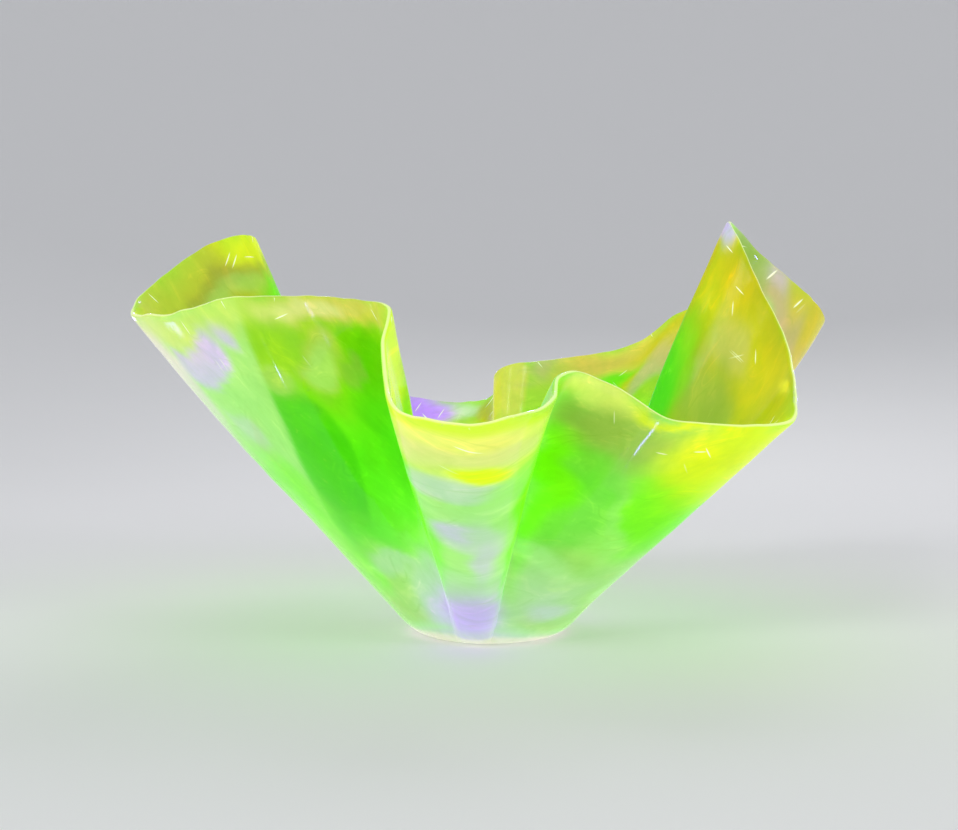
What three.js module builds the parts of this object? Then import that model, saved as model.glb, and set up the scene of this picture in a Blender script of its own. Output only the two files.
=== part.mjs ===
// A draped glass dish. One thin sheet of glass stands on a small flat base and rises
// in straight-sided folds to a wavy rim: five lobes reach outward and five valleys
// fold inward between them. Millimetres, +Z up. The origin is the centre of the
// flat underside, on the surface that the dish rests on, and the low front lobe
// faces -Y.

import * as THREE from 'three';

const GLASS_THICKNESS = 2.2;
const BASE_RADIUS = 34;
const BEND_INSIDE = 5; // how far inside the base circle the sheet starts to turn up
const BEND_HEIGHT = 9; // length of the first part of the wall, taken up by the turn
const EDGE_RADIUS = GLASS_THICKNESS / 2; // the rim is melted round

// The rim, clockwise from the front seen from above. Each row is one station:
// the angle on the base circle where its wall line starts, in degrees from the
// front, then x, y and z of the rim, then how far the wall line bows outward.
const STATIONS = [
  // front lobe
  [9, -8, -114, 95, 2],
  [14, -23, -110, 97, 2],
  [18, -34, -98, 100, 2],
  [20, -39, -82, 110, 1],
  // valley between the front and left lobes
  [22, -42, -60, 126, 0],
  [24, -42, -40, 142, 0],
  [30, -48, -34, 144, 0],
  // left lobe
  [40, -61, -45, 144, 0],
  [50, -76, -60, 144, 1],
  [57, -91, -69, 143, 3],
  [62, -104, -66, 142, 3],
  [69, -123, -50, 139, 2],
  [77, -146, -22, 139, 2],
  [85, -162, 5, 143, 2],
  [90, -163, 24, 153, 2],
  [96, -154, 37, 165, 1],
  [101, -140, 45, 177, 0],
  // high valley on the left
  [106, -123, 49, 184, 0],
  [111, -118, 57, 184, 0],
  // back left lobe
  [117, -122, 72, 176, 1],
  [128, -133, 100, 160, 3],
  [140, -119, 130, 145, 4],
  [151, -88, 143, 127, 4],
  [161, -56, 140, 107, 3],
  [171, -22, 127, 101, 2],
  [177, -4, 108, 102, 1],
  // valley at the back
  [180, 5, 90, 107, 0],
  [183, 5, 73, 117, 0],
  [188, 14, 67, 121, 0],
  // back right lobe
  [196, 37, 80, 124, 0],
  [205, 62, 93, 128, 0],
  [213, 84, 99, 135, 1],
  [223, 106, 104, 150, 3],
  [235, 137, 99, 157, 5],
  [246, 159, 78, 152, 6],
  [255, 167, 53, 142, 6],
  [260, 158, 36, 150, 4],
  [263, 144, 26, 158, 2],
  [266, 128, 20, 170, 1],
  // high valley on the right
  [270, 111, 14, 185, -2],
  [275, 114, 5, 174, 0],
  [280, 119, -4, 156, 1],
  // right lobe
  [287, 127, -20, 130, 2],
  [295, 126, -36, 113, 3],
  [302, 122, -52, 103, 1],
  [312, 115, -68, 95, 0],
  [323, 89, -80, 94, 2],
  [338, 66, -77, 97, 0],
  // valley between the right and front lobes
  [352, 48, -63, 109, -4],
  [360, 34, -53, 115, -6],
  [361, 27, -59, 113, -6],
  [362, 24, -78, 105, -3],
  [364, 17, -97, 100, 0],
  [367, 4, -111, 97, 2],
];
const STEPS_PER_STATION = 3;

// Heights up the sheet where it gets a ring of vertices: -1 is the edge of the flat
// base, 0 is the top of the turn and 1 is the rim.
const LEVELS = [-1, -0.65, -0.35, 0, 0.22, 0.42, 0.6, 0.78, 1];

// The bow of a wall line is greatest two thirds of the way up.
const BOW_SCALE = 27 / 4;
const SMALL_STEP = 0.01;

function stationAt(index) {
  const count = STATIONS.length;
  const turns = Math.floor(index / count);
  const [angle, x, y, z, bow] = STATIONS[index - turns * count];
  return [x, y, z, angle + 360 * turns, bow];
}

// A knot spacing of the square root of the distance keeps the curve from
// overshooting where stations are close together.
function knotGap(a, b) {
  return Math.sqrt(Math.hypot(b[0] - a[0], b[1] - a[1], b[2] - a[2]));
}

function between(a, b, knotA, knotB, knot) {
  const share = (knot - knotA) / (knotB - knotA);
  return a.map((value, k) => value + (b[k] - value) * share);
}

// A smooth closed curve through the stations. Whole values of u are the stations.
function rimAt(u) {
  const index = Math.floor(u);
  const a = stationAt(index - 1);
  const b = stationAt(index);
  const c = stationAt(index + 1);
  const d = stationAt(index + 2);
  const knotB = knotGap(a, b);
  const knotC = knotB + knotGap(b, c);
  const knotD = knotC + knotGap(c, d);
  const knot = knotB + (knotC - knotB) * (u - index);
  const ab = between(a, b, 0, knotB, knot);
  const bc = between(b, c, knotB, knotC, knot);
  const cd = between(c, d, knotC, knotD, knot);
  const abc = between(ab, bc, 0, knotC, knot);
  const bcd = between(bc, cd, knotB, knotD, knot);
  return between(abc, bcd, knotB, knotC, knot);
}

// A point on the middle of the sheet, u around it and level up it.
function sheetPoint(u, level) {
  const [x, y, z, angle, bow] = rimAt(u);
  const turn = THREE.MathUtils.degToRad(angle);
  const outward = new THREE.Vector3(-Math.sin(turn), -Math.cos(turn), 0);
  const corner = outward.clone().multiplyScalar(BASE_RADIUS);
  corner.z = GLASS_THICKNESS / 2;
  const rim = new THREE.Vector3(x, y, z);
  const rise = rim.clone().sub(corner).normalize();
  const bendTop = corner.clone().addScaledVector(rise, BEND_HEIGHT);
  if (level < 0) {
    const s = 1 + level;
    const bendStart = corner.clone().addScaledVector(outward, -BEND_INSIDE);
    return bendStart
      .multiplyScalar((1 - s) * (1 - s))
      .addScaledVector(corner, 2 * s * (1 - s))
      .addScaledVector(bendTop, s * s);
  }
  const wallTop = rim.addScaledVector(rise, -EDGE_RADIUS);
  const reach = Math.hypot(rise.x, rise.y);
  const across = new THREE.Vector3(rise.x * rise.z, rise.y * rise.z, -reach * reach).divideScalar(reach);
  const bowed = bow * BOW_SCALE * level * level * (1 - level);
  return bendTop.lerp(wallTop, level).addScaledVector(across, bowed);
}

// Directions along the sheet at a point, found from its close neighbours.
function sheetFrame(u, level) {
  const around = sheetPoint(u + SMALL_STEP, level).sub(sheetPoint(u - SMALL_STEP, level));
  const upward = sheetPoint(u, level + SMALL_STEP).sub(sheetPoint(u, level - SMALL_STEP)).normalize();
  const outward = upward.clone().cross(around).normalize();
  return { upward, outward };
}

// One line of vertices up the outside of the sheet, over the rim and down the inside.
function profileAt(u) {
  const outside = [];
  const inside = [];
  for (const level of LEVELS) {
    const middle = sheetPoint(u, level);
    const { outward } = sheetFrame(u, level);
    outside.push(middle.clone().addScaledVector(outward, GLASS_THICKNESS / 2));
    inside.push(middle.clone().addScaledVector(outward, -GLASS_THICKNESS / 2));
  }
  const crown = sheetPoint(u, 1).addScaledVector(sheetFrame(u, 1).upward, EDGE_RADIUS);
  return [...outside, crown, ...inside.reverse()];
}

function sheetGeometry() {
  const columns = STATIONS.length * STEPS_PER_STATION;
  const profiles = [];
  for (let i = 0; i < columns; i += 1) {
    profiles.push(profileAt(i / STEPS_PER_STATION));
  }
  const rows = profiles[0].length;
  const undersideCentre = columns * rows;
  const floorCentre = undersideCentre + 1;
  const points = profiles.flat();
  points.push(new THREE.Vector3(0, 0, 0), new THREE.Vector3(0, 0, GLASS_THICKNESS));

  const triangles = [];
  for (let i = 0; i < columns; i += 1) {
    const here = i * rows;
    const next = ((i + 1) % columns) * rows;
    triangles.push(undersideCentre, here, next);
    for (let j = 0; j < rows - 1; j += 1) {
      triangles.push(here + j, here + j + 1, next + j + 1);
      triangles.push(here + j, next + j + 1, next + j);
    }
    triangles.push(floorCentre, next + rows - 1, here + rows - 1);
  }

  const geometry = new THREE.BufferGeometry();
  geometry.setFromPoints(points);
  geometry.setIndex(triangles);
  geometry.computeVertexNormals();
  return geometry;
}

const glass = new THREE.MeshStandardMaterial({
  color: new THREE.Color(0.72, 0.86, 0.24),
  roughness: 0.12,
  metalness: 0,
});

const dish = new THREE.Group();
dish.name = 'draped_glass_dish';

const sheet = new THREE.Mesh(sheetGeometry(), glass);
sheet.name = 'glass_sheet';
dish.add(sheet);

export default dish;
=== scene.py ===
"""Looks for a draped glass dish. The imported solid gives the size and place; this script lays a
finer sheet over it, with a rippled surface, a melted rim and glass streaked in several colours."""

import math

import bpy
import numpy as np
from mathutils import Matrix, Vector, noise


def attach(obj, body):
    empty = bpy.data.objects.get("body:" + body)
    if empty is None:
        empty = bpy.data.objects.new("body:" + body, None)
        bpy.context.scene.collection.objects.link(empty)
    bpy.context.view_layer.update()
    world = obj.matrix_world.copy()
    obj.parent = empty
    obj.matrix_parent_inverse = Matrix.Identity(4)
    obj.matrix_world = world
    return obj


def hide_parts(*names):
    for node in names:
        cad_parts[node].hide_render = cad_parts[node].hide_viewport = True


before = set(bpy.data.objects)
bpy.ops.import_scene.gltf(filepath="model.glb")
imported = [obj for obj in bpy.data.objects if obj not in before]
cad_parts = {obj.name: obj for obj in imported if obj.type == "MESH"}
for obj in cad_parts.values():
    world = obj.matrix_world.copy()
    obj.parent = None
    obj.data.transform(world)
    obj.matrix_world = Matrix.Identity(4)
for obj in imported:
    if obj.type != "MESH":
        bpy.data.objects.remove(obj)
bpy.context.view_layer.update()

# ---------------------------------------------------------------- shape, in millimetres

GLASS_THICKNESS = 2.2
BASE_RADIUS = 34.0
BEND_INSIDE = 5.0
BEND_HEIGHT = 9.0
EDGE_RADIUS = GLASS_THICKNESS / 2

# The same stations as the solid's: angle on the base circle, then x, y and z of the rim,
# then the bow of the wall line. They run clockwise from the front, seen from above.
STATIONS = [
    # front lobe
    [9, -8, -114, 95, 2],
    [14, -23, -110, 97, 2],
    [18, -34, -98, 100, 2],
    [20, -39, -82, 110, 1],
    # valley between the front and left lobes
    [22, -42, -60, 126, 0],
    [24, -42, -40, 142, 0],
    [30, -48, -34, 144, 0],
    # left lobe
    [40, -61, -45, 144, 0],
    [50, -76, -60, 144, 1],
    [57, -91, -69, 143, 3],
    [62, -104, -66, 142, 3],
    [69, -123, -50, 139, 2],
    [77, -146, -22, 139, 2],
    [85, -162, 5, 143, 2],
    [90, -163, 24, 153, 2],
    [96, -154, 37, 165, 1],
    [101, -140, 45, 177, 0],
    # high valley on the left
    [106, -123, 49, 184, 0],
    [111, -118, 57, 184, 0],
    # back left lobe
    [117, -122, 72, 176, 1],
    [128, -133, 100, 160, 3],
    [140, -119, 130, 145, 4],
    [151, -88, 143, 127, 4],
    [161, -56, 140, 107, 3],
    [171, -22, 127, 101, 2],
    [177, -4, 108, 102, 1],
    # valley at the back
    [180, 5, 90, 107, 0],
    [183, 5, 73, 117, 0],
    [188, 14, 67, 121, 0],
    # back right lobe
    [196, 37, 80, 124, 0],
    [205, 62, 93, 128, 0],
    [213, 84, 99, 135, 1],
    [223, 106, 104, 150, 3],
    [235, 137, 99, 157, 5],
    [246, 159, 78, 152, 6],
    [255, 167, 53, 142, 6],
    [260, 158, 36, 150, 4],
    [263, 144, 26, 158, 2],
    [266, 128, 20, 170, 1],
    # high valley on the right
    [270, 111, 14, 185, -2],
    [275, 114, 5, 174, 0],
    [280, 119, -4, 156, 1],
    # right lobe
    [287, 127, -20, 130, 2],
    [295, 126, -36, 113, 3],
    [302, 122, -52, 103, 1],
    [312, 115, -68, 95, 0],
    [323, 89, -80, 94, 2],
    [338, 66, -77, 97, 0],
    # valley between the right and front lobes
    [352, 48, -63, 109, -4],
    [360, 34, -53, 115, -6],
    [361, 27, -59, 113, -6],
    [362, 24, -78, 105, -3],
    [364, 17, -97, 100, 0],
    [367, 4, -111, 97, 2],
]
COUNT = len(STATIONS)
STEPS_PER_STATION = 10
DISC_STEPS = 4
BEND_STEPS = 7
WALL_STEPS = 72
RIM_STEPS = 6
BOW_SCALE = 27 / 4  # brings the highest value of level**2 * (1 - level) to 1
SMALL_STEP = 0.01  # in stations or levels, for measuring slopes
MM = 0.001  # in metres
MIDDLE_OF_BASE = [0, 0, GLASS_THICKNESS / 2]


def station_rows(index):
    """Stations as rows of x, y, z, angle and bow, going round again past the last one."""
    rows = np.array(STATIONS, float)[index % COUNT]
    turns = index // COUNT
    return np.column_stack([rows[:, 1:4], rows[:, 0] + 360 * turns, rows[:, 4]])


def knot_gap(a, b):
    return np.sqrt(np.linalg.norm((b - a)[:, :3], axis=1, keepdims=True))


def between(a, b, knot_a, knot_b, knot):
    return a + (b - a) * (knot - knot_a) / (knot_b - knot_a)


def rim_at(u):
    """A smooth closed curve through the stations. Whole values of u are the stations."""
    index = np.floor(u).astype(int)
    a, b, c, d = (station_rows(index + step) for step in (-1, 0, 1, 2))
    knot_b = knot_gap(a, b)
    knot_c = knot_b + knot_gap(b, c)
    knot_d = knot_c + knot_gap(c, d)
    knot = knot_b + (knot_c - knot_b) * (u - index)[:, None]
    ab = between(a, b, 0, knot_b, knot)
    bc = between(b, c, knot_b, knot_c, knot)
    cd = between(c, d, knot_c, knot_d, knot)
    abc = between(ab, bc, 0, knot_c, knot)
    bcd = between(bc, cd, knot_b, knot_d, knot)
    return between(abc, bcd, knot_b, knot_c, knot)


def unit(vectors):
    return vectors / np.linalg.norm(vectors, axis=-1, keepdims=True)


def disc_radius(level):
    """Radius of a ring of the flat base, for levels from -2 at the centre to -1."""
    return (BASE_RADIUS - BEND_INSIDE) * (2 + level)


def sheet_point(u, level):
    """Points on the middle of the sheet: the flat base is -2 to -1, and its bend ends at 0."""
    rows = rim_at(u)
    rim, turn, bow = rows[:, :3], np.radians(rows[:, 3]), rows[:, 4:5]
    outward = np.column_stack([-np.sin(turn), -np.cos(turn), np.zeros(len(u))])
    corner = outward * BASE_RADIUS + MIDDLE_OF_BASE
    if level < -1:
        return outward * disc_radius(level) + MIDDLE_OF_BASE
    rise = unit(rim - corner)
    bend_top = corner + rise * BEND_HEIGHT
    if level < 0:
        s = 1 + level
        bend_start = corner - outward * BEND_INSIDE
        return bend_start * (1 - s) ** 2 + corner * 2 * s * (1 - s) + bend_top * s * s
    wall_top = rim - rise * EDGE_RADIUS
    reach = np.linalg.norm(rise[:, :2], axis=1, keepdims=True)
    across = np.column_stack([rise[:, :2] * rise[:, 2:3] / reach, -reach])
    bowed = bow * BOW_SCALE * level**2 * (1 - level)
    return bend_top + (wall_top - bend_top) * level + across * bowed


# Slow waves that the sheet kept when it slumped, and the unevenness of its melted edge.
RIPPLES = [(0.45, 34.0), (0.22, 13.0)]  # height and size
RIPPLE_GROWTH = 5  # they are at their full height a fifth of the way up the wall
EDGE_WAVES = [(0.9, 21.0), (0.5, 8.0)]
EDGE_WAVE_POWER = 6  # keeps them to the top of the wall
EDGE_WAVE_SHIFT = 50  # takes them from another part of the noise than the ripples


def waves(points, sizes):
    """Smooth noise at each point, summed over a list of (height, size)."""
    return np.array([sum(h * noise.noise(Vector(p) / s) for h, s in sizes) for p in points])[:, None]


def rippled_point(u, level):
    """sheet_point with the ripples and the uneven rim."""
    middle = sheet_point(u, level)
    if level < 0:
        return middle
    fade = min(level * RIPPLE_GROWTH, 1)
    middle = middle + sheet_outward(u, level) * waves(middle, RIPPLES) * fade
    rise = unit(middle - sheet_point(u, level - SMALL_STEP))
    return middle + rise * waves(middle + EDGE_WAVE_SHIFT, EDGE_WAVES) * level**EDGE_WAVE_POWER


def sheet_outward(u, level):
    """Unit vectors that point out of the smooth sheet."""
    along_ring = sheet_point(u + SMALL_STEP, level) - sheet_point(u - SMALL_STEP, level)
    up_wall = sheet_point(u, level + SMALL_STEP) - sheet_point(u, level - SMALL_STEP)
    return unit(np.cross(up_wall, along_ring))


disc_levels = list(np.linspace(-2, -1, DISC_STEPS, endpoint=False))[1:]
bend_levels = list(np.linspace(-1, 0, BEND_STEPS, endpoint=False))
wall_levels = list(np.linspace(0, 1, WALL_STEPS))
levels = disc_levels + bend_levels + wall_levels
columns = COUNT * STEPS_PER_STATION
around = np.arange(columns) / STEPS_PER_STATION  # the station of each column

middles = [rippled_point(around, level) for level in levels]
outwards = []
for row, level in enumerate(levels):
    if row == 0:
        outwards.append(np.tile([0.0, 0.0, -1.0], (columns, 1)))
        continue
    below = middles[row - 1]
    above = middles[min(row + 1, len(levels) - 1)]
    side = np.roll(middles[row], -1, axis=0) - np.roll(middles[row], 1, axis=0)
    outwards.append(unit(np.cross(above - below, side)))

half = GLASS_THICKNESS / 2
outside = [m + n * half for m, n in zip(middles, outwards)]
inside = [m - n * half for m, n in zip(middles, outwards)]
tip = unit(middles[-1] - middles[-2])
crown = []
for step in range(1, RIM_STEPS):
    angle = math.pi * step / RIM_STEPS
    crown.append(middles[-1] + (outwards[-1] * math.cos(angle) + tip * math.sin(angle)) * half)

rings = outside + crown + inside[::-1]

points = np.concatenate(rings + [[[0, 0, 0]], [[0, 0, GLASS_THICKNESS]]]) * MM
faces = []
last = len(rings) - 1
underside_centre = len(rings) * columns
floor_centre = underside_centre + 1
for i in range(columns):
    j = (i + 1) % columns
    faces.append((underside_centre, i, j))
    for row in range(last):
        low, high = row * columns, (row + 1) * columns
        faces.append((low + i, high + i, high + j, low + j))
    faces.append((floor_centre, last * columns + j, last * columns + i))

mesh = bpy.data.meshes.new("streaky_glass_sheet")
mesh.from_pydata([tuple(p) for p in points], [], faces)
mesh.polygons.foreach_set("use_smooth", [True] * len(mesh.polygons))
mesh.update()
sheet = bpy.data.objects.new("streaky_glass_sheet", mesh)
bpy.context.scene.collection.objects.link(sheet)

# ---------------------------------------------------------------- colours in the glass

# How crisp the edge of a pool is. From STEADY up it keeps a clean line, since the streaks hardly bend
# it. The crispest edges follow a fold and are steps of painted shade and light: deeper colour where one
# layer of the sheet lies over another, paler where it is a single layer and more light comes through.
SOFT = 6.0
STEADY = 24.0
PAINTED_SHADE_STEP = 60.0
STEADY_BEND = 0.15
EXPONENT_LIMIT = 50

# Each glass colour, as linear red, green and blue.
GLASS_COLOURS = {
    "mint": (0.40, 0.80, 0.20),
    "pale_green": (0.36, 0.82, 0.14),
    "sage": (0.37, 0.66, 0.13),
    "lime": (0.22, 0.86, 0.0),
    "vivid": (0.12, 0.76, 0.0),
    "green": (0.08, 0.60, 0.0),
    "leaf": (0.28, 0.66, 0.0),
    "pale_olive": (0.40, 0.62, 0.06),
    "moss": (0.30, 0.48, 0.09),
    "lemon": (0.80, 0.92, 0.0),
    "butter": (0.80, 0.86, 0.20),
    "primrose": (0.60, 0.80, 0.12),
    "beige": (0.76, 0.78, 0.28),
    "mustard": (0.70, 0.64, 0.10),
    "gold": (0.60, 0.54, 0.0),
    "olive": (0.45, 0.42, 0.0),
    "dull_olive": (0.36, 0.40, 0.04),
    "apricot": (0.62, 0.52, 0.10),
    "mauve": (0.56, 0.46, 0.26),
    "milk": (0.50, 0.80, 0.36),
    "pearl": (0.54, 0.68, 0.56),
    "blush": (0.82, 0.72, 0.74),
    "lavender": (0.62, 0.52, 0.90),
    "violet": (0.56, 0.31, 1.0),
}


def pool(colour, station, level, reach, rise, slant=0.0, strength=1.0, softness=SOFT):
    """A soft oval of one colour. Reach and slant are in stations, and rise is in levels."""
    return (GLASS_COLOURS[colour], station, level, reach, rise, slant, strength, softness)


# Pools of colour on the outer face, each laid over the ones before it.
OUTSIDE_POOLS = [
    # front lobe, banded across
    pool("mint", 0.4, 0.42, 3.4, 0.24),
    pool("milk", 0.4, 0.64, 3.0, 0.06, strength=0.5),
    pool("milk", 0.4, 0.2, 3.2, 0.12),
    pool("lime", 2.5, 0.5, 0.8, 0.36),
    pool("lime", 51.6, 0.46, 0.5, 0.3),
    pool("pearl", 0.8, 0.735, 1.7, 0.05, softness=10),
    pool("pearl", 0.3, 0.5, 1.3, 0.07, softness=10),
    pool("lavender", 0.5, 0.52, 0.9, 0.05, strength=0.8),
    pool("pearl", 53.5, 0.42, 0.8, 0.15),
    pool("lavender", 53.6, 0.4, 0.6, 0.07, strength=0.4),
    pool("lemon", 0.3, 0.92, 3.6, 0.145, strength=0.75, softness=12),
    pool("beige", 0.8, 0.88, 2.6, 0.085),
    pool("beige", 52.8, 0.89, 1.3, 0.06),
    pool("butter", 0.4, 0.96, 3.4, 0.035),
    pool("lemon", 0.4, 1.0, 3.6, 0.02, strength=0.15),
    pool("lemon", 53.5, 0.8, 0.9, 0.055, slant=6, softness=10),
    pool("lavender", 0.5, 0.02, 4.6, 0.16),
    pool("violet", 0.2, 0.06, 2.8, 0.13),
    # left lobe: deep green up to a fold, and pale beyond it. The green is the glass's own; the crisp
    # step between deep and pale is painted shade and light, deeper where the sheet lies over another
    # layer, paler where it is a single layer.
    pool("lime", 8.0, 0.4, 3.2, 0.34),
    pool("leaf", 7.6, 0.85, 3.0, 0.2),
    pool("vivid", 7.2, 0.5, 1.1, 0.24, slant=-1.0, strength=0.8),
    pool("green", 6.5, 0.66, 0.6, 0.24, strength=0.7),
    pool("vivid", 9.3, 0.42, 1.6, 0.32, slant=-1.0),
    # painted shade: the deep green where the sheet lies over another layer
    pool("green", 9.6, 0.5, 1.5, 0.26, slant=-0.6, strength=0.9, softness=PAINTED_SHADE_STEP),
    pool("vivid", 9.4, 0.26, 1.6, 0.08, strength=0.8),
    pool("leaf", 9.2, 0.87, 1.2, 0.12, softness=9),
    pool("green", 7.0, 0.84, 0.5, 0.08, strength=0.6),
    # A pale patch, partly the glass's own colour and partly a painted highlight where a lamp is
    # reflected.
    pool("pale_olive", 8.1, 0.81, 0.6, 0.085, softness=12),
    pool("mint", 8.1, 0.8, 0.5, 0.065, strength=0.6, softness=12),
    pool("sage", 9.45, 0.78, 0.5, 0.055, softness=12, strength=0.6),
    pool("moss", 7.2, 0.76, 0.35, 0.05, softness=12, strength=0.5),
    # painted light: the pale mint beyond the fold, where the sheet is a single layer
    pool("mint", 12.6, 0.62, 2.5, 0.75, slant=-2.2, softness=PAINTED_SHADE_STEP),
    pool("lime", 12.0, 0.36, 1.35, 0.2, softness=9, strength=0.9),
    pool("sage", 9.0, 0.08, 3.2, 0.16),
    pool("lime", 11.4, 0.17, 1.6, 0.09),
    pool("mustard", 7.2, 0.975, 2.0, 0.05),
    pool("beige", 8.2, 0.965, 1.1, 0.03),
    pool("primrose", 11.3, 0.97, 1.9, 0.05, strength=0.9),
    pool("lavender", 11.2, 0.88, 0.8, 0.075, slant=-7, softness=12, strength=0.9),
    pool("lavender", 10.9, 0.9, 0.45, 0.06, softness=12, strength=0.7),
    pool("pearl", 11.4, 0.64, 0.45, 0.06, strength=0.7),
    pool("blush", 12.7, 0.82, 0.7, 0.16, strength=0.9),
    pool("pearl", 6.4, 0.13, 1.2, 0.07, strength=0.8),
    pool("pearl", 8.6, 0.2, 1.6, 0.03, slant=9, strength=0.6),
    pool("lavender", 5.2, 0.04, 1.9, 0.08),
    pool("violet", 4.6, 0.06, 0.9, 0.05, strength=0.7),
    # right lobe
    pool("sage", 46.5, 0.2, 3.2, 0.24),
    pool("milk", 45.2, 0.34, 0.9, 0.13, slant=4, strength=0.4),
    pool("lime", 45.8, 0.6, 1.2, 0.2, slant=2.5, softness=7),
    pool("mint", 46.9, 0.6, 0.22, 0.2, slant=3, strength=0.5),
    pool("green", 47.6, 0.6, 0.6, 0.3, strength=0.6),
    pool("lime", 48.4, 0.58, 0.5, 0.32),
    pool("moss", 48.0, 0.87, 1.0, 0.11),
    pool("moss", 47.2, 0.88, 0.6, 0.14, strength=0.8),
    pool("lemon", 45.2, 0.86, 1.4, 0.18, softness=8),
    pool("lemon", 46.4, 0.985, 1.5, 0.025, strength=0.8),
    pool("butter", 48.7, 0.975, 1.0, 0.035),
    pool("pearl", 46.8, 0.16, 1.5, 0.12, strength=0.5),
    pool("milk", 47.6, 0.3, 1.2, 0.05, slant=9, strength=0.6),
    pool("lavender", 46.7, 0.11, 0.9, 0.06, strength=0.6),
    pool("lavender", 50.2, 0.03, 1.8, 0.09, strength=0.9),
    pool("milk", 44.7, 0.25, 0.5, 0.16),
    # valley between the right and front lobes
    pool("leaf", 50.2, 0.8, 1.0, 0.25),
    pool("vivid", 49.8, 0.4, 0.7, 0.25),
    # high valley and back left lobe
    pool("sage", 19.0, 0.16, 7.0, 0.2),
    pool("green", 15.6, 0.62, 1.4, 0.3),
    pool("vivid", 16.6, 0.4, 0.8, 0.22, softness=9),
    pool("olive", 16.8, 0.9, 1.6, 0.1),
    pool("mustard", 18.6, 0.98, 1.4, 0.05),
    # Pale mint past a fold, with a crisp edge: painted light, as on the left lobe.
    pool("mint", 19.0, 0.55, 1.3, 0.5, slant=1.5, softness=PAINTED_SHADE_STEP, strength=0.9),
    pool("pale_olive", 19.0, 0.9, 0.8, 0.09, strength=0.8),
    pool("lavender", 19.4, 0.76, 0.6, 0.08, slant=-4),
    pool("green", 21.4, 0.55, 1.2, 0.3, slant=-1.0, softness=STEADY, strength=0.8),
    pool("vivid", 22.3, 0.5, 0.5, 0.26),
    pool("lemon", 20.8, 0.92, 1.8, 0.1),
    pool("moss", 22.0, 0.78, 0.6, 0.07, strength=0.8),
    pool("beige", 22.6, 0.97, 1.4, 0.04),
    pool("pearl", 23.6, 0.5, 0.8, 0.1),
    pool("violet", 23.6, 0.95, 0.6, 0.08),
    pool("milk", 22.0, 0.2, 2.2, 0.08, slant=9, strength=0.9),
    pool("lavender", 20.0, 0.08, 2.0, 0.06, strength=0.7),
    pool("lime", 25.2, 0.5, 0.8, 0.35),
    pool("primrose", 24.8, 0.9, 0.9, 0.08),
    # valley at the back
    pool("sage", 31.0, 0.14, 5.0, 0.18),
    pool("mustard", 26.6, 0.9, 1.0, 0.14),
    pool("green", 28.0, 0.6, 0.7, 0.3),
    pool("vivid", 29.0, 0.36, 0.8, 0.2),
    # back right lobe and its high tip
    pool("lime", 31.0, 0.62, 1.5, 0.26),
    pool("beige", 30.6, 0.85, 1.6, 0.08, strength=0.8),
    pool("apricot", 30.4, 0.94, 1.8, 0.06),
    pool("pearl", 30.2, 0.7, 0.8, 0.06, strength=0.8),
    pool("lavender", 32.6, 0.74, 0.8, 0.07, slant=4),
    pool("lemon", 32.8, 0.92, 1.0, 0.09),
    pool("green", 34.2, 0.5, 1.5, 0.3, slant=1.0, softness=STEADY, strength=0.8),
    pool("vivid", 33.0, 0.45, 0.5, 0.2),
    pool("lavender", 31.5, 0.2, 1.2, 0.06, slant=-6, strength=0.7),
    pool("mustard", 35.0, 0.9, 1.4, 0.12),
    pool("gold", 36.0, 0.96, 1.1, 0.11),
    pool("apricot", 35.2, 0.86, 0.5, 0.05, strength=0.7),
    pool("mauve", 36.9, 0.9, 0.9, 0.1, slant=3),
    pool("lavender", 37.3, 0.97, 0.5, 0.03, strength=0.5),
    # Pale mint past a fold, with a crisp edge: painted light, as on the left lobe.
    pool("mint", 37.8, 0.5, 1.2, 0.42, slant=-1.0, softness=PAINTED_SHADE_STEP, strength=0.9),
    pool("moss", 38.3, 0.93, 0.7, 0.12),
    pool("sage", 40.0, 0.16, 4.0, 0.18),
    pool("vivid", 40.0, 0.55, 0.8, 0.35),
    pool("mustard", 41.0, 0.95, 1.3, 0.06),
    pool("lemon", 42.0, 0.86, 1.0, 0.12),
    pool("green", 41.6, 0.5, 0.5, 0.22, strength=0.8),
    pool("pearl", 38.6, 0.24, 0.9, 0.1, strength=0.8),
    pool("pale_olive", 43.3, 0.9, 0.7, 0.1),
    pool("lime", 43.2, 0.6, 1.0, 0.26),
    pool("milk", 34.0, 0.18, 2.6, 0.07, slant=8),
    pool("lavender", 27.5, 0.02, 9.0, 0.07, strength=0.8),
    pool("pearl", 27.0, -0.9, 60.0, 0.85, strength=0.7),
    pool("lavender", 0.5, -0.5, 7.0, 0.6),
    pool("blush", 27.0, -0.7, 60.0, 0.34, softness=12),
]
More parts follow.
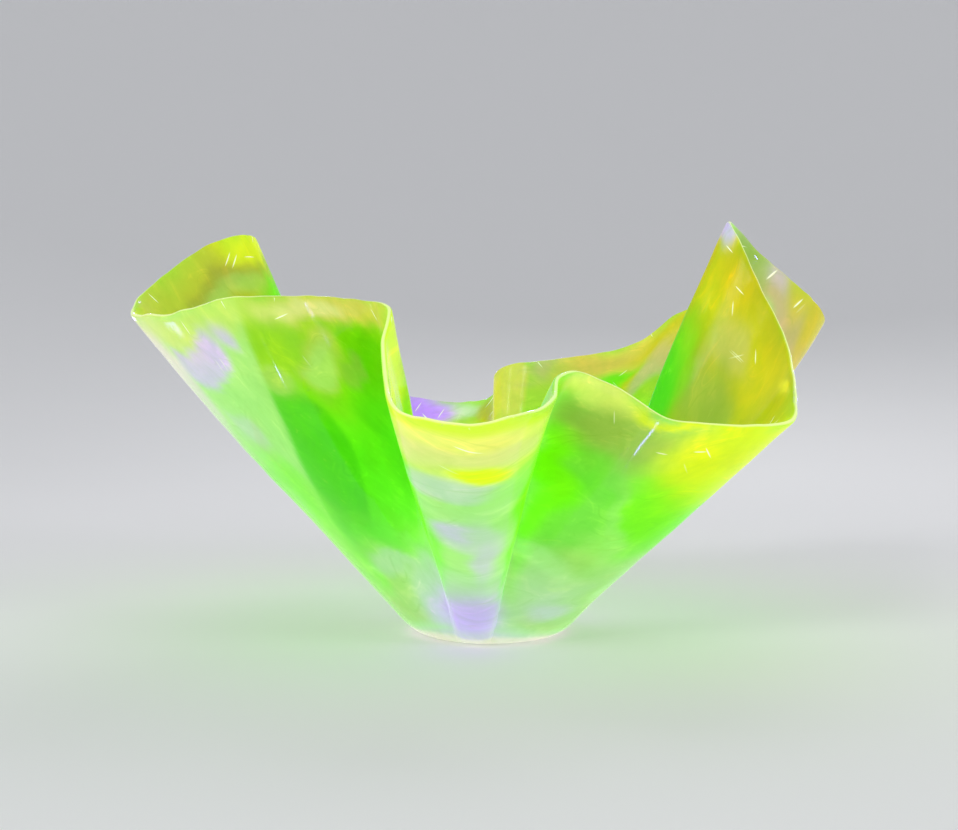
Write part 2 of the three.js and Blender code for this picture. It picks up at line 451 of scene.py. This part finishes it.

# Pools of colour on the inner face. Its colours are the glass's own, painted darker and more olive than
# the outer face's as painted shade, since less light reaches the inside.
INSIDE_POOLS = [
    # a band of darker colour round the top, and paler ones down in the bowl
    pool("pale_olive", 27.0, 1.0, 60.0, 0.16, strength=0.5),
    pool("pale_green", 27.0, -1.0, 60.0, 1.35, strength=0.8),
    pool("mint", 12.0, -1.2, 9.0, 0.5),
    pool("lime", 30.0, -1.5, 9.0, 0.4),
    pool("milk", 42.0, -1.1, 7.0, 0.3),
    pool("lavender", 49.0, -1.4, 5.0, 0.3, strength=0.7),
    pool("mint", 34.0, 0.2, 3.0, 0.12, slant=8),
    pool("milk", 22.5, 0.3, 1.6, 0.12, slant=-6),
    pool("lavender", 1.0, 0.0, 5.0, 0.12, strength=0.8),
    pool("pearl", 30.0, 0.12, 4.0, 0.08, strength=0.8),
    pool("green", 24.0, 0.5, 1.4, 0.2, softness=9),
    pool("lime", 32.5, 0.45, 1.6, 0.14, slant=3),
    pool("mint", 19.5, 0.55, 1.0, 0.12, strength=0.8),
    pool("lemon", 21.5, 0.93, 1.4, 0.06),
    pool("green", 35.6, 0.4, 1.4, 0.18),
    pool("milk", 43.5, 0.28, 1.6, 0.12),
    pool("green", 13.5, 0.42, 1.2, 0.2, softness=9),
    # front lobe and its valleys
    pool("mustard", 1.0, 0.93, 3.0, 0.09),
    pool("leaf", 0.5, 0.6, 2.6, 0.2),
    pool("green", 3.6, 0.55, 1.0, 0.3),
    pool("lemon", 4.2, 0.92, 0.9, 0.14),
    pool("olive", 8.0, 0.8, 2.4, 0.2),
    pool("green", 9.0, 0.45, 2.0, 0.25),
    # left lobe
    pool("mustard", 12.6, 0.95, 1.6, 0.08),
    pool("olive", 15.2, 0.86, 2.0, 0.16),
    pool("primrose", 15.4, 0.93, 2.4, 0.1, strength=0.3),
    pool("dull_olive", 16.0, 0.9, 1.3, 0.03, slant=4),
    pool("lemon", 17.4, 0.97, 1.3, 0.05, strength=0.7),
    pool("vivid", 17.8, 0.82, 0.9, 0.06, strength=0.8),
    pool("sage", 16.2, 0.87, 1.0, 0.03, strength=0.7),
    pool("green", 16.5, 0.6, 1.6, 0.16),
    # back left lobe
    pool("leaf", 20.5, 0.85, 1.6, 0.16),
    pool("mustard", 19.4, 0.94, 1.0, 0.07),
    pool("moss", 21.8, 0.64, 1.2, 0.14, strength=0.8),
    pool("vivid", 20.2, 0.66, 0.5, 0.16),
    pool("beige", 22.4, 0.96, 1.0, 0.04),
    pool("pearl", 22.8, 0.45, 0.7, 0.1, strength=0.8),
    pool("lime", 23.8, 0.7, 0.7, 0.14),
    pool("pearl", 24.4, 0.95, 1.0, 0.05),
    pool("violet", 23.5, 0.95, 0.6, 0.09),
    pool("pale_olive", 24.6, 0.88, 0.8, 0.04),
    pool("olive", 25.6, 0.9, 0.5, 0.1),
    # valley at the back
    pool("pale_olive", 28.6, 0.84, 0.7, 0.1, strength=0.8),
    # A crisp mustard band on the face of the fold that turns to the front: partly the glass's own colour
    # and partly painted light on that face.
    pool("mustard", 27.1, 0.86, 1.25, 0.3, softness=PAINTED_SHADE_STEP),
    pool("mauve", 28.7, 0.965, 0.6, 0.045, strength=0.8),
    pool("pale_olive", 29.1, 0.93, 0.5, 0.05, strength=0.8),
    # back right lobe
    pool("mustard", 30.7, 0.94, 1.6, 0.085),
    pool("apricot", 30.2, 0.93, 0.7, 0.04, strength=0.6),
    pool("vivid", 30.5, 0.83, 0.6, 0.045, slant=-6),
    pool("leaf", 31.2, 0.72, 1.0, 0.1),
    pool("gold", 32.4, 0.92, 1.2, 0.1),
    pool("mauve", 31.7, 0.8, 0.35, 0.12, slant=3, strength=0.8),
    pool("gold", 31.2, 0.77, 0.25, 0.05, strength=0.7),
    pool("olive", 35.0, 0.85, 1.8, 0.2),
    pool("mustard", 34.2, 0.95, 0.9, 0.06),
    pool("moss", 34.2, 0.72, 0.8, 0.08, strength=0.8),
    pool("lavender", 36.8, 0.7, 0.7, 0.08),
    pool("vivid", 37.6, 0.6, 0.6, 0.2),
    pool("gold", 37.6, 0.92, 0.8, 0.1),
    # right lobe, up to its high tip
    pool("olive", 41.6, 0.78, 3.2, 0.32),
    pool("gold", 39.9, 0.89, 1.5, 0.11),
    pool("gold", 42.6, 0.88, 1.2, 0.12, strength=0.7),
    pool("dull_olive", 41.5, 0.66, 1.3, 0.09),
    pool("mauve", 41.2, 0.83, 0.6, 0.06, strength=0.4),
    pool("leaf", 39.6, 0.67, 0.8, 0.11, strength=0.8),
    pool("green", 39.3, 0.57, 1.0, 0.14),
    pool("lavender", 39.0, 1.0, 0.8, 0.055, softness=12),
    pool("green", 45.0, 0.5, 2.2, 0.25),
    pool("olive", 47.5, 0.85, 1.8, 0.14),
    pool("lime", 50.0, 0.8, 0.9, 0.2),
]
OUTSIDE_GROUND = GLASS_COLOURS["pale_green"]
# The inner face's ground is darker than the outer one's: painted shade.
INSIDE_GROUND = GLASS_COLOURS["leaf"]

# Streaks in the flat glass ran one way, so the noise that bends the pools is drawn out that way.
STREAK_LENGTH, STREAK_WIDTH = 60.0, 17.0
WARP_STATIONS, WARP_LEVELS = 0.55, 0.05
FINER_SIZE, FINER_SHARE = 0.4, 0.5


def flat_places():
    """Where each ring and column lay in the flat disc of glass before it was draped, in mm."""
    rows = rim_at(around)
    turn = np.radians(rows[:, 3])
    corner = np.column_stack([-np.sin(turn), -np.cos(turn)]) * BASE_RADIUS
    length = np.linalg.norm(rows[:, :3] - np.column_stack([corner, np.zeros(columns)]), axis=1)
    places = []
    for level in levels:
        if level < -1:
            radius = disc_radius(level)
        elif level < 0:
            radius = BASE_RADIUS + BEND_INSIDE * level
        else:
            radius = BASE_RADIUS + length * level
        places.append(np.column_stack([-radius * np.sin(turn), -radius * np.cos(turn)]))
    return np.array(places)


def streaky_noise(places, size, seed):
    long_way, short_way = STREAK_LENGTH * size, STREAK_WIDTH * size
    values = [noise.noise(Vector((x / long_way, y / short_way, seed))) for x, y in places.reshape(-1, 2)]
    return np.array(values).reshape(places.shape[:2])


def drift(places, seed, finer_seed):
    """How the streaks bend the pools one way: broad waves with finer ones on them."""
    return streaky_noise(places, 1.0, seed) + FINER_SHARE * streaky_noise(places, FINER_SIZE, finer_seed)


flat = flat_places()
sideways = drift(flat, 3.1, 7.7)
upward = drift(flat, 11.3, 5.9)


def painted(pools, ground):
    """The colour at each level and column of one face."""
    station = around[None, :]
    level = np.array(levels)[:, None]
    colour = np.tile(np.array(ground, float), (len(levels), columns, 1))
    for paint, middle, height, reach, rise, slant, strength, softness in pools:
        bend = STEADY_BEND if softness >= STEADY else 1.0
        up = level + upward * WARP_LEVELS * bend - height
        along = station + sideways * WARP_STATIONS * bend - middle - slant * up
        away = (along + COUNT / 2) % COUNT - COUNT / 2
        distance = np.hypot(away / reach, up / rise)
        exponent = np.clip((distance - 1) * softness, -EXPONENT_LIMIT, EXPONENT_LIMIT)
        share = strength / (1 + np.exp(exponent))
        colour += (np.array(paint) - colour) * share[:, :, None]
    return colour


outer_colour = painted(OUTSIDE_POOLS, OUTSIDE_GROUND)
inner_colour = painted(INSIDE_POOLS, INSIDE_GROUND)


def ring_colours():
    """Colours of every ring: up the outer face, over the crown and down the inner face."""
    shares = [step / RIM_STEPS for step in range(1, RIM_STEPS)]
    crown_rings = [outer_colour[-1] * (1 - share) + inner_colour[-1] * share for share in shares]
    return list(outer_colour) + crown_rings + list(inner_colour[::-1])


def add_attribute(name, kind, field, values):
    """Stores one value for every point of the mesh, in the order of the points."""
    attribute = mesh.attributes.new(name, kind, "POINT")
    attribute.data.foreach_set(field, np.asarray(values, np.float32).ravel())


colours = np.array(ring_colours()).reshape(-1, 3)
colours = np.vstack([colours, outer_colour[0].mean(axis=0), inner_colour[0].mean(axis=0)])
colours = np.column_stack([colours, np.ones(len(colours))])
add_attribute("glass_colour", "FLOAT_COLOR", "color", colours)

flat_rings = list(flat) + [flat[-1]] * (RIM_STEPS - 1) + list(flat[::-1])
flat_points = np.vstack([np.array(flat_rings).reshape(-1, 2), [[0, 0], [0, 0]]]) * MM
flat_points = np.column_stack([flat_points, np.zeros(len(flat_points))])
add_attribute("flat_place", "FLOAT_VECTOR", "vector", flat_points)

# A painted highlight along the crown of the rim, strongest at its top, which makes the rim a bright
# line.
crest = [math.sin(math.pi * step / RIM_STEPS) ** 2 for step in range(1, RIM_STEPS)]
edge = np.array([0.0] * len(levels) + crest + [0.0] * len(levels))
add_attribute("edge", "FLOAT", "value", np.append(np.repeat(edge, columns), [0, 0]))

# Painted glints: short bright strokes in the top part of the wall, which stand in for lamps reflected in
# the ripples near the rim.
GLINT_STROKES_FROM = 0.8
GLINT_STROKE_GROWTH = 2  # they are all there halfway up that part
glint_stroke_fade = np.clip((np.array(levels) - GLINT_STROKES_FROM) / (1 - GLINT_STROKES_FROM) * GLINT_STROKE_GROWTH, 0, 1)
near_rim = np.concatenate([glint_stroke_fade, [0.0] * (RIM_STEPS - 1), glint_stroke_fade[::-1]])
add_attribute("near_rim", "FLOAT", "value", np.append(np.repeat(near_rim, columns), [0, 0]))

# ---------------------------------------------------------------- glass material

# Colours that are laid over the glass: a painted highlight along the rim, a pale streak colour of the
# glass itself, and painted glints in short strokes near the rim.
RIM_HIGHLIGHT = (0.88, 0.95, 0.45, 1)
CLOUD = (0.72, 0.84, 0.12, 1)
PAINTED_GLINT = (0.95, 0.98, 0.75, 1)

# Tints, which the colour of the glass is multiplied by.
PALER = (1.45, 1.15, 1.35, 1)
DEEPER = (0.62, 0.80, 0.45, 1)
WARMER = (0.98, 0.82, 0.6, 1)

STREAK_TURN = 0.12  # radians
STREAK_ROUGHNESS = 0.6

GLINT_STROKE_CELL = (22.0, 1.8)  # length and width of a cell, in mm
GLINT_STROKE_EDGE = (0.1, 0.2)  # where a stroke starts to fade and where it ends, in cells
GLINT_STROKE_SHARE = 0.03
GLINT_STROKE_TURNS = (0.3, 1.1, 2.2)  # radians
CHANCE_STEP = 0.01

DIMPLES = {"Scale": 55, "Detail": 2, "Roughness": 0.4}
GRAIN = {"Scale": 420, "Detail": 1}
GRAIN_SHARE = 0.05
BUMP = {"Strength": 0.25, "Distance": 0.0012}
ROUGHNESS = (0.05, 0.14)  # of the smoothest and of the dullest glass
# The emission makes the glass glow in its own colours: a painted glow that stands in for the
# fluorescence of uranium glass under ultraviolet light.
GLASS = {
    "Emission Strength": 0.35,
    "IOR": 1.5,
    "Transmission Weight": 0.35,
    "Specular IOR Level": 0.3,
}

glass = bpy.data.materials.new("streaky_uranium_glass")
glass.use_nodes = True
tree = glass.node_tree
shader = tree.nodes["Principled BSDF"]


def node(kind, links=None, **settings):
    """Adds a node, sets its properties, and joins or sets its inputs by name or number."""
    made = tree.nodes.new(kind)
    for key, value in settings.items():
        setattr(made, key, value)
    for key, value in (links or {}).items():
        if isinstance(value, bpy.types.NodeSocket):
            tree.links.new(value, made.inputs[key])
        else:
            made.inputs[key].default_value = value
    return made


place = node("ShaderNodeTexCoord").outputs["Object"]
flat_place = node("ShaderNodeAttribute", attribute_name="flat_place").outputs["Vector"]


def streaks(scale, stretch, detail, distortion, offset):
    """Noise drawn out one way over the flat glass, as colours are when they are rolled together."""
    moved = node(
        "ShaderNodeMapping",
        {
            "Vector": flat_place,
            "Location": offset,
            "Rotation": (0, 0, STREAK_TURN),
            "Scale": (1, stretch, 1),
        },
    )
    made = node(
        "ShaderNodeTexNoise",
        {
            "Vector": moved.outputs[0],
            "Scale": scale,
            "Detail": detail,
            "Roughness": STREAK_ROUGHNESS,
            "Distortion": distortion,
        },
    )
    return made.outputs["Fac"]


def ramped(value, low, high, start, end):
    """A smooth change from start to end while the value goes from low to high."""
    made = node(
        "ShaderNodeMapRange",
        {"Value": value, "From Min": low, "From Max": high, "To Min": start, "To Max": end},
        interpolation_type="SMOOTHSTEP",
    )
    return made.outputs[0]


def mixed(share, first, second, blend="MIX"):
    """The first colour with a share of the second laid over it, or multiplied into it."""
    made = node("ShaderNodeMix", {0: share, 6: first, 7: second}, data_type="RGBA", blend_type=blend)
    return made.outputs[2]


def reckoned(operation, *values):
    """Arithmetic on the values of patterns, such as MULTIPLY or SUBTRACT."""
    return node("ShaderNodeMath", dict(enumerate(values)), operation=operation).outputs[0]


clouds = streaks(28, 1.2, 3, 0.6, (0.3, 0.1, 0.2))
wisps = streaks(30, 2.0, 4, 1.4, (0.7, 0.4, 0.1))
threads = streaks(90, 3.0, 3, 1.2, (0.2, 0.9, 0.5))
swirls = streaks(16, 2.2, 1, 1.6, (0.5, 0.2, 0.8))

# What is multiplied into the colour: a pattern, its low and high values, how much of the tint
# shows at each of them, and the tint.
TINTS = [
    (clouds, 0.50, 0.72, 0.0, 0.35, PALER),
    (clouds, 0.28, 0.48, 0.28, 0.0, WARMER),
    (wisps, 0.52, 0.72, 0.0, 0.4, PALER),
    (wisps, 0.3, 0.5, 0.2, 0.0, DEEPER),
    (threads, 0.35, 0.7, 0.12, 0.0, DEEPER),
]
# Veins: a height of the swirls, the width of the line, how much of the tint shows, and the tint.
VEINS = [
    (0.54, 0.02, 0.35, PALER),
    (0.46, 0.025, 0.3, DEEPER),
]


def veins(height, width, most):
    """Thin winding lines along one height of the swirls, which come and go with the wisps."""
    away = reckoned("ABSOLUTE", reckoned("SUBTRACT", swirls, height))
    line = ramped(away, 0.0, width, most, 0.0)
    seen = ramped(wisps, 0.48, 0.62, 0.0, 1.0)
    return reckoned("MULTIPLY", line, seen)


def painted_glint_strokes(turn):
    """Painted glints: short fine bright lines, all lying one way, in a few of the cells of a stretched
    pattern.
    """
    cell = (GLINT_STROKE_CELL[0] * MM, GLINT_STROKE_CELL[1] * MM, 1)
    moved = node(
        "ShaderNodeMapping",
        {"Vector": flat_place, "Rotation": (0, 0, turn), "Scale": cell},
        vector_type="TEXTURE",
    )
    cells = node(
        "ShaderNodeTexVoronoi",
        {"Vector": moved.outputs[0], "Scale": 1},
        voronoi_dimensions="2D",
    )
    line = ramped(cells.outputs["Distance"], *GLINT_STROKE_EDGE, 1.0, 0.0)
    chance = node("ShaderNodeSeparateColor", {0: cells.outputs["Color"]}).outputs[0]
    chosen = ramped(chance, 1 - GLINT_STROKE_SHARE, 1 - GLINT_STROKE_SHARE + CHANCE_STEP, 0.0, 1.0)
    return reckoned("MULTIPLY", line, chosen)


colour = node("ShaderNodeAttribute", attribute_name="glass_colour").outputs["Color"]
for pattern, low, high, start, end, tint in TINTS:
    colour = mixed(ramped(pattern, low, high, start, end), colour, tint, "MULTIPLY")
colour = mixed(ramped(threads, 0.62, 0.75, 0.0, 0.1), colour, CLOUD)
for height, width, most, tint in VEINS:
    colour = mixed(veins(height, width, most), colour, tint, "MULTIPLY")
# Lays the painted glints over the colour, in the top part of the wall.
rim_mask = node("ShaderNodeAttribute", attribute_name="near_rim").outputs["Fac"]
for turn in GLINT_STROKE_TURNS:
    colour = mixed(reckoned("MULTIPLY", painted_glint_strokes(turn), rim_mask), colour, PAINTED_GLINT)
# Lays the painted rim highlight over the colour.
rim_highlight_mask = node("ShaderNodeAttribute", attribute_name="edge").outputs["Fac"]
colour = mixed(ramped(rim_highlight_mask, 0.3, 1.0, 0.0, 0.9), colour, RIM_HIGHLIGHT)

dimples = node("ShaderNodeTexNoise", {"Vector": place, **DIMPLES}).outputs["Fac"]
grain = node("ShaderNodeTexNoise", {"Vector": place, **GRAIN}).outputs["Fac"]
surface = reckoned("ADD", dimples, reckoned("MULTIPLY", grain, GRAIN_SHARE))
bump = node("ShaderNodeBump", {"Height": surface, **BUMP})

tree.links.new(colour, shader.inputs["Base Color"])
# The painted glow takes the same colours as the glass.
tree.links.new(colour, shader.inputs["Emission Color"])
tree.links.new(ramped(wisps, 0.3, 0.7, *ROUGHNESS), shader.inputs["Roughness"])
tree.links.new(bump.outputs[0], shader.inputs["Normal"])
for socket, value in GLASS.items():
    shader.inputs[socket].default_value = value

sheet.data.materials.append(glass)
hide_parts("glass_sheet")
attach(sheet, "root")

# ---------------------------------------------------------------- floor, light and camera

# A round floor that curves up into a wall, so that no horizon shows from any side.
FLOOR_RADIUS = 0.9
COVE_RADIUS = 2.6
WALL_TOP = 3.4
FLOOR_SIDES = 96
FLOOR_RINGS = (0.1, 0.5, 1)
COVE_STEPS = 16
FLOOR_GAP = 0.0002  # keeps the floor clear of the underside of the dish

profile = [(FLOOR_RADIUS * share, 0) for share in FLOOR_RINGS]
for step in range(1, COVE_STEPS + 1):
    angle = math.radians(90) * step / COVE_STEPS
    outward_reach = FLOOR_RADIUS + COVE_RADIUS * math.sin(angle)
    profile.append((outward_reach, COVE_RADIUS * (1 - math.cos(angle))))
profile.append((FLOOR_RADIUS + COVE_RADIUS, WALL_TOP))
floor_points = [(0, 0, 0)]
floor_faces = []
for row, (radius, height_up) in enumerate(profile):
    for side in range(FLOOR_SIDES):
        angle = 2 * math.pi * side / FLOOR_SIDES
        floor_points.append((radius * math.cos(angle), radius * math.sin(angle), height_up))
        ring_start = 1 + row * FLOOR_SIDES
        here = ring_start + side
        next_side = ring_start + (side + 1) % FLOOR_SIDES
        if row == 0:
            floor_faces.append((0, here, next_side))
        else:
            floor_faces.append((here - FLOOR_SIDES, here, next_side, next_side - FLOOR_SIDES))
floor_mesh = bpy.data.meshes.new("floor")
floor_mesh.from_pydata(floor_points, [], floor_faces)
floor_mesh.polygons.foreach_set("use_smooth", [True] * len(floor_mesh.polygons))
floor = bpy.data.objects.new("floor", floor_mesh)
floor.location.z = -FLOOR_GAP
bpy.context.scene.collection.objects.link(floor)

PAPER = {
    "Base Color": (0.74, 0.74, 0.75, 1),
    "Roughness": 0.9,
    "Specular IOR Level": 0,
    "Emission Color": (0.93, 0.94, 0.96, 1),
    "Emission Strength": 0.15,
}
paper = bpy.data.materials.new("pale_floor")
paper.use_nodes = True
for socket, value in PAPER.items():
    paper.node_tree.nodes["Principled BSDF"].inputs[socket].default_value = value
floor_mesh.materials.append(paper)

SURROUNDINGS = {"Color": (0.80, 0.82, 0.86, 1), "Strength": 0.43}
world = bpy.data.worlds.new("studio")
world.use_nodes = True
for socket, value in SURROUNDINGS.items():
    world.node_tree.nodes["Background"].inputs[socket].default_value = value
bpy.context.scene.world = world

LAMPS_AIM_AT = (0, 0, 0.1)  # the middle of the dish


def square_lamp(name, where, size, watts):
    """A square lamp that points at the middle of the dish, and that the camera doesn't see."""
    lamp = bpy.data.lights.new(name, "AREA")
    lamp.size = size
    lamp.energy = watts
    holder = bpy.data.objects.new(name, lamp)
    holder.location = where
    towards = Vector(LAMPS_AIM_AT) - holder.location
    holder.rotation_euler = towards.to_track_quat("-Z", "Y").to_euler()
    holder.visible_camera = False
    bpy.context.scene.collection.objects.link(holder)
    return holder


# Wide lamps give the soft light. Small violet ones, which don't light matt surfaces, give the
# glints. Each row is a name, a place, the size in metres and the power in watts.
SOFTBOXES = [
    ("key", (-0.9, -1.1, 1.0), 0.5, 7),
    ("fill", (1.2, -0.9, 0.7), 0.4, 4),
    ("top_back", (0.3, 1.1, 1.2), 0.9, 6),
]
GLINTS = [
    ("glint_left", (-0.123, -0.224, 0.008), 0.014, 0.03),
    ("glint_low_left", (-0.323, 0.095, 0.048), 0.014, 0.004),
    ("glint_right", (0.33, -0.17, 0.2), 0.014, 0.03),
    ("glint_back_left", (-0.3, 0.22, 0.12), 0.014, 0.02),
    ("glint_back_right", (0.24, 0.3, 0.1), 0.014, 0.02),
    ("glint_back", (0.05, 0.55, 0.3), 0.03, 0.12),
    ("glint_high_left", (-0.35, 0.55, 0.3), 0.03, 0.12),
    ("glint_high_right", (0.6, 0.45, 0.3), 0.03, 0.12),
    ("glint_top", (0.1, 0.4, 0.7), 0.03, 0.12),
]
GLINT_COLOUR = (0.36, 0.25, 1.0)

for name, where, size, watts in SOFTBOXES:
    square_lamp(name, where, size, watts).visible_glossy = False
for name, where, size, watts in GLINTS:
    glint = square_lamp(name, where, size, watts)
    glint.visible_diffuse = False
    glint.data.color = GLINT_COLOUR

CAMERA_PLACE = (-0.0045, -0.471, 0.105)
CAMERA_DOWN = 1.09  # degrees below level
LENS_MM = 39.46
SENSOR_MM = 36
NEAREST_SEEN = 0.01

lens = bpy.data.cameras.new("camera")
lens.sensor_fit = "HORIZONTAL"
lens.sensor_width = SENSOR_MM
lens.lens = LENS_MM
lens.clip_start = NEAREST_SEEN
camera = bpy.data.objects.new("camera", lens)
camera.location = CAMERA_PLACE
camera.rotation_euler = (math.radians(90 - CAMERA_DOWN), 0, 0)
bpy.context.scene.collection.objects.link(camera)
bpy.context.scene.camera = camera
bpy.context.scene.view_settings.view_transform = "Standard"
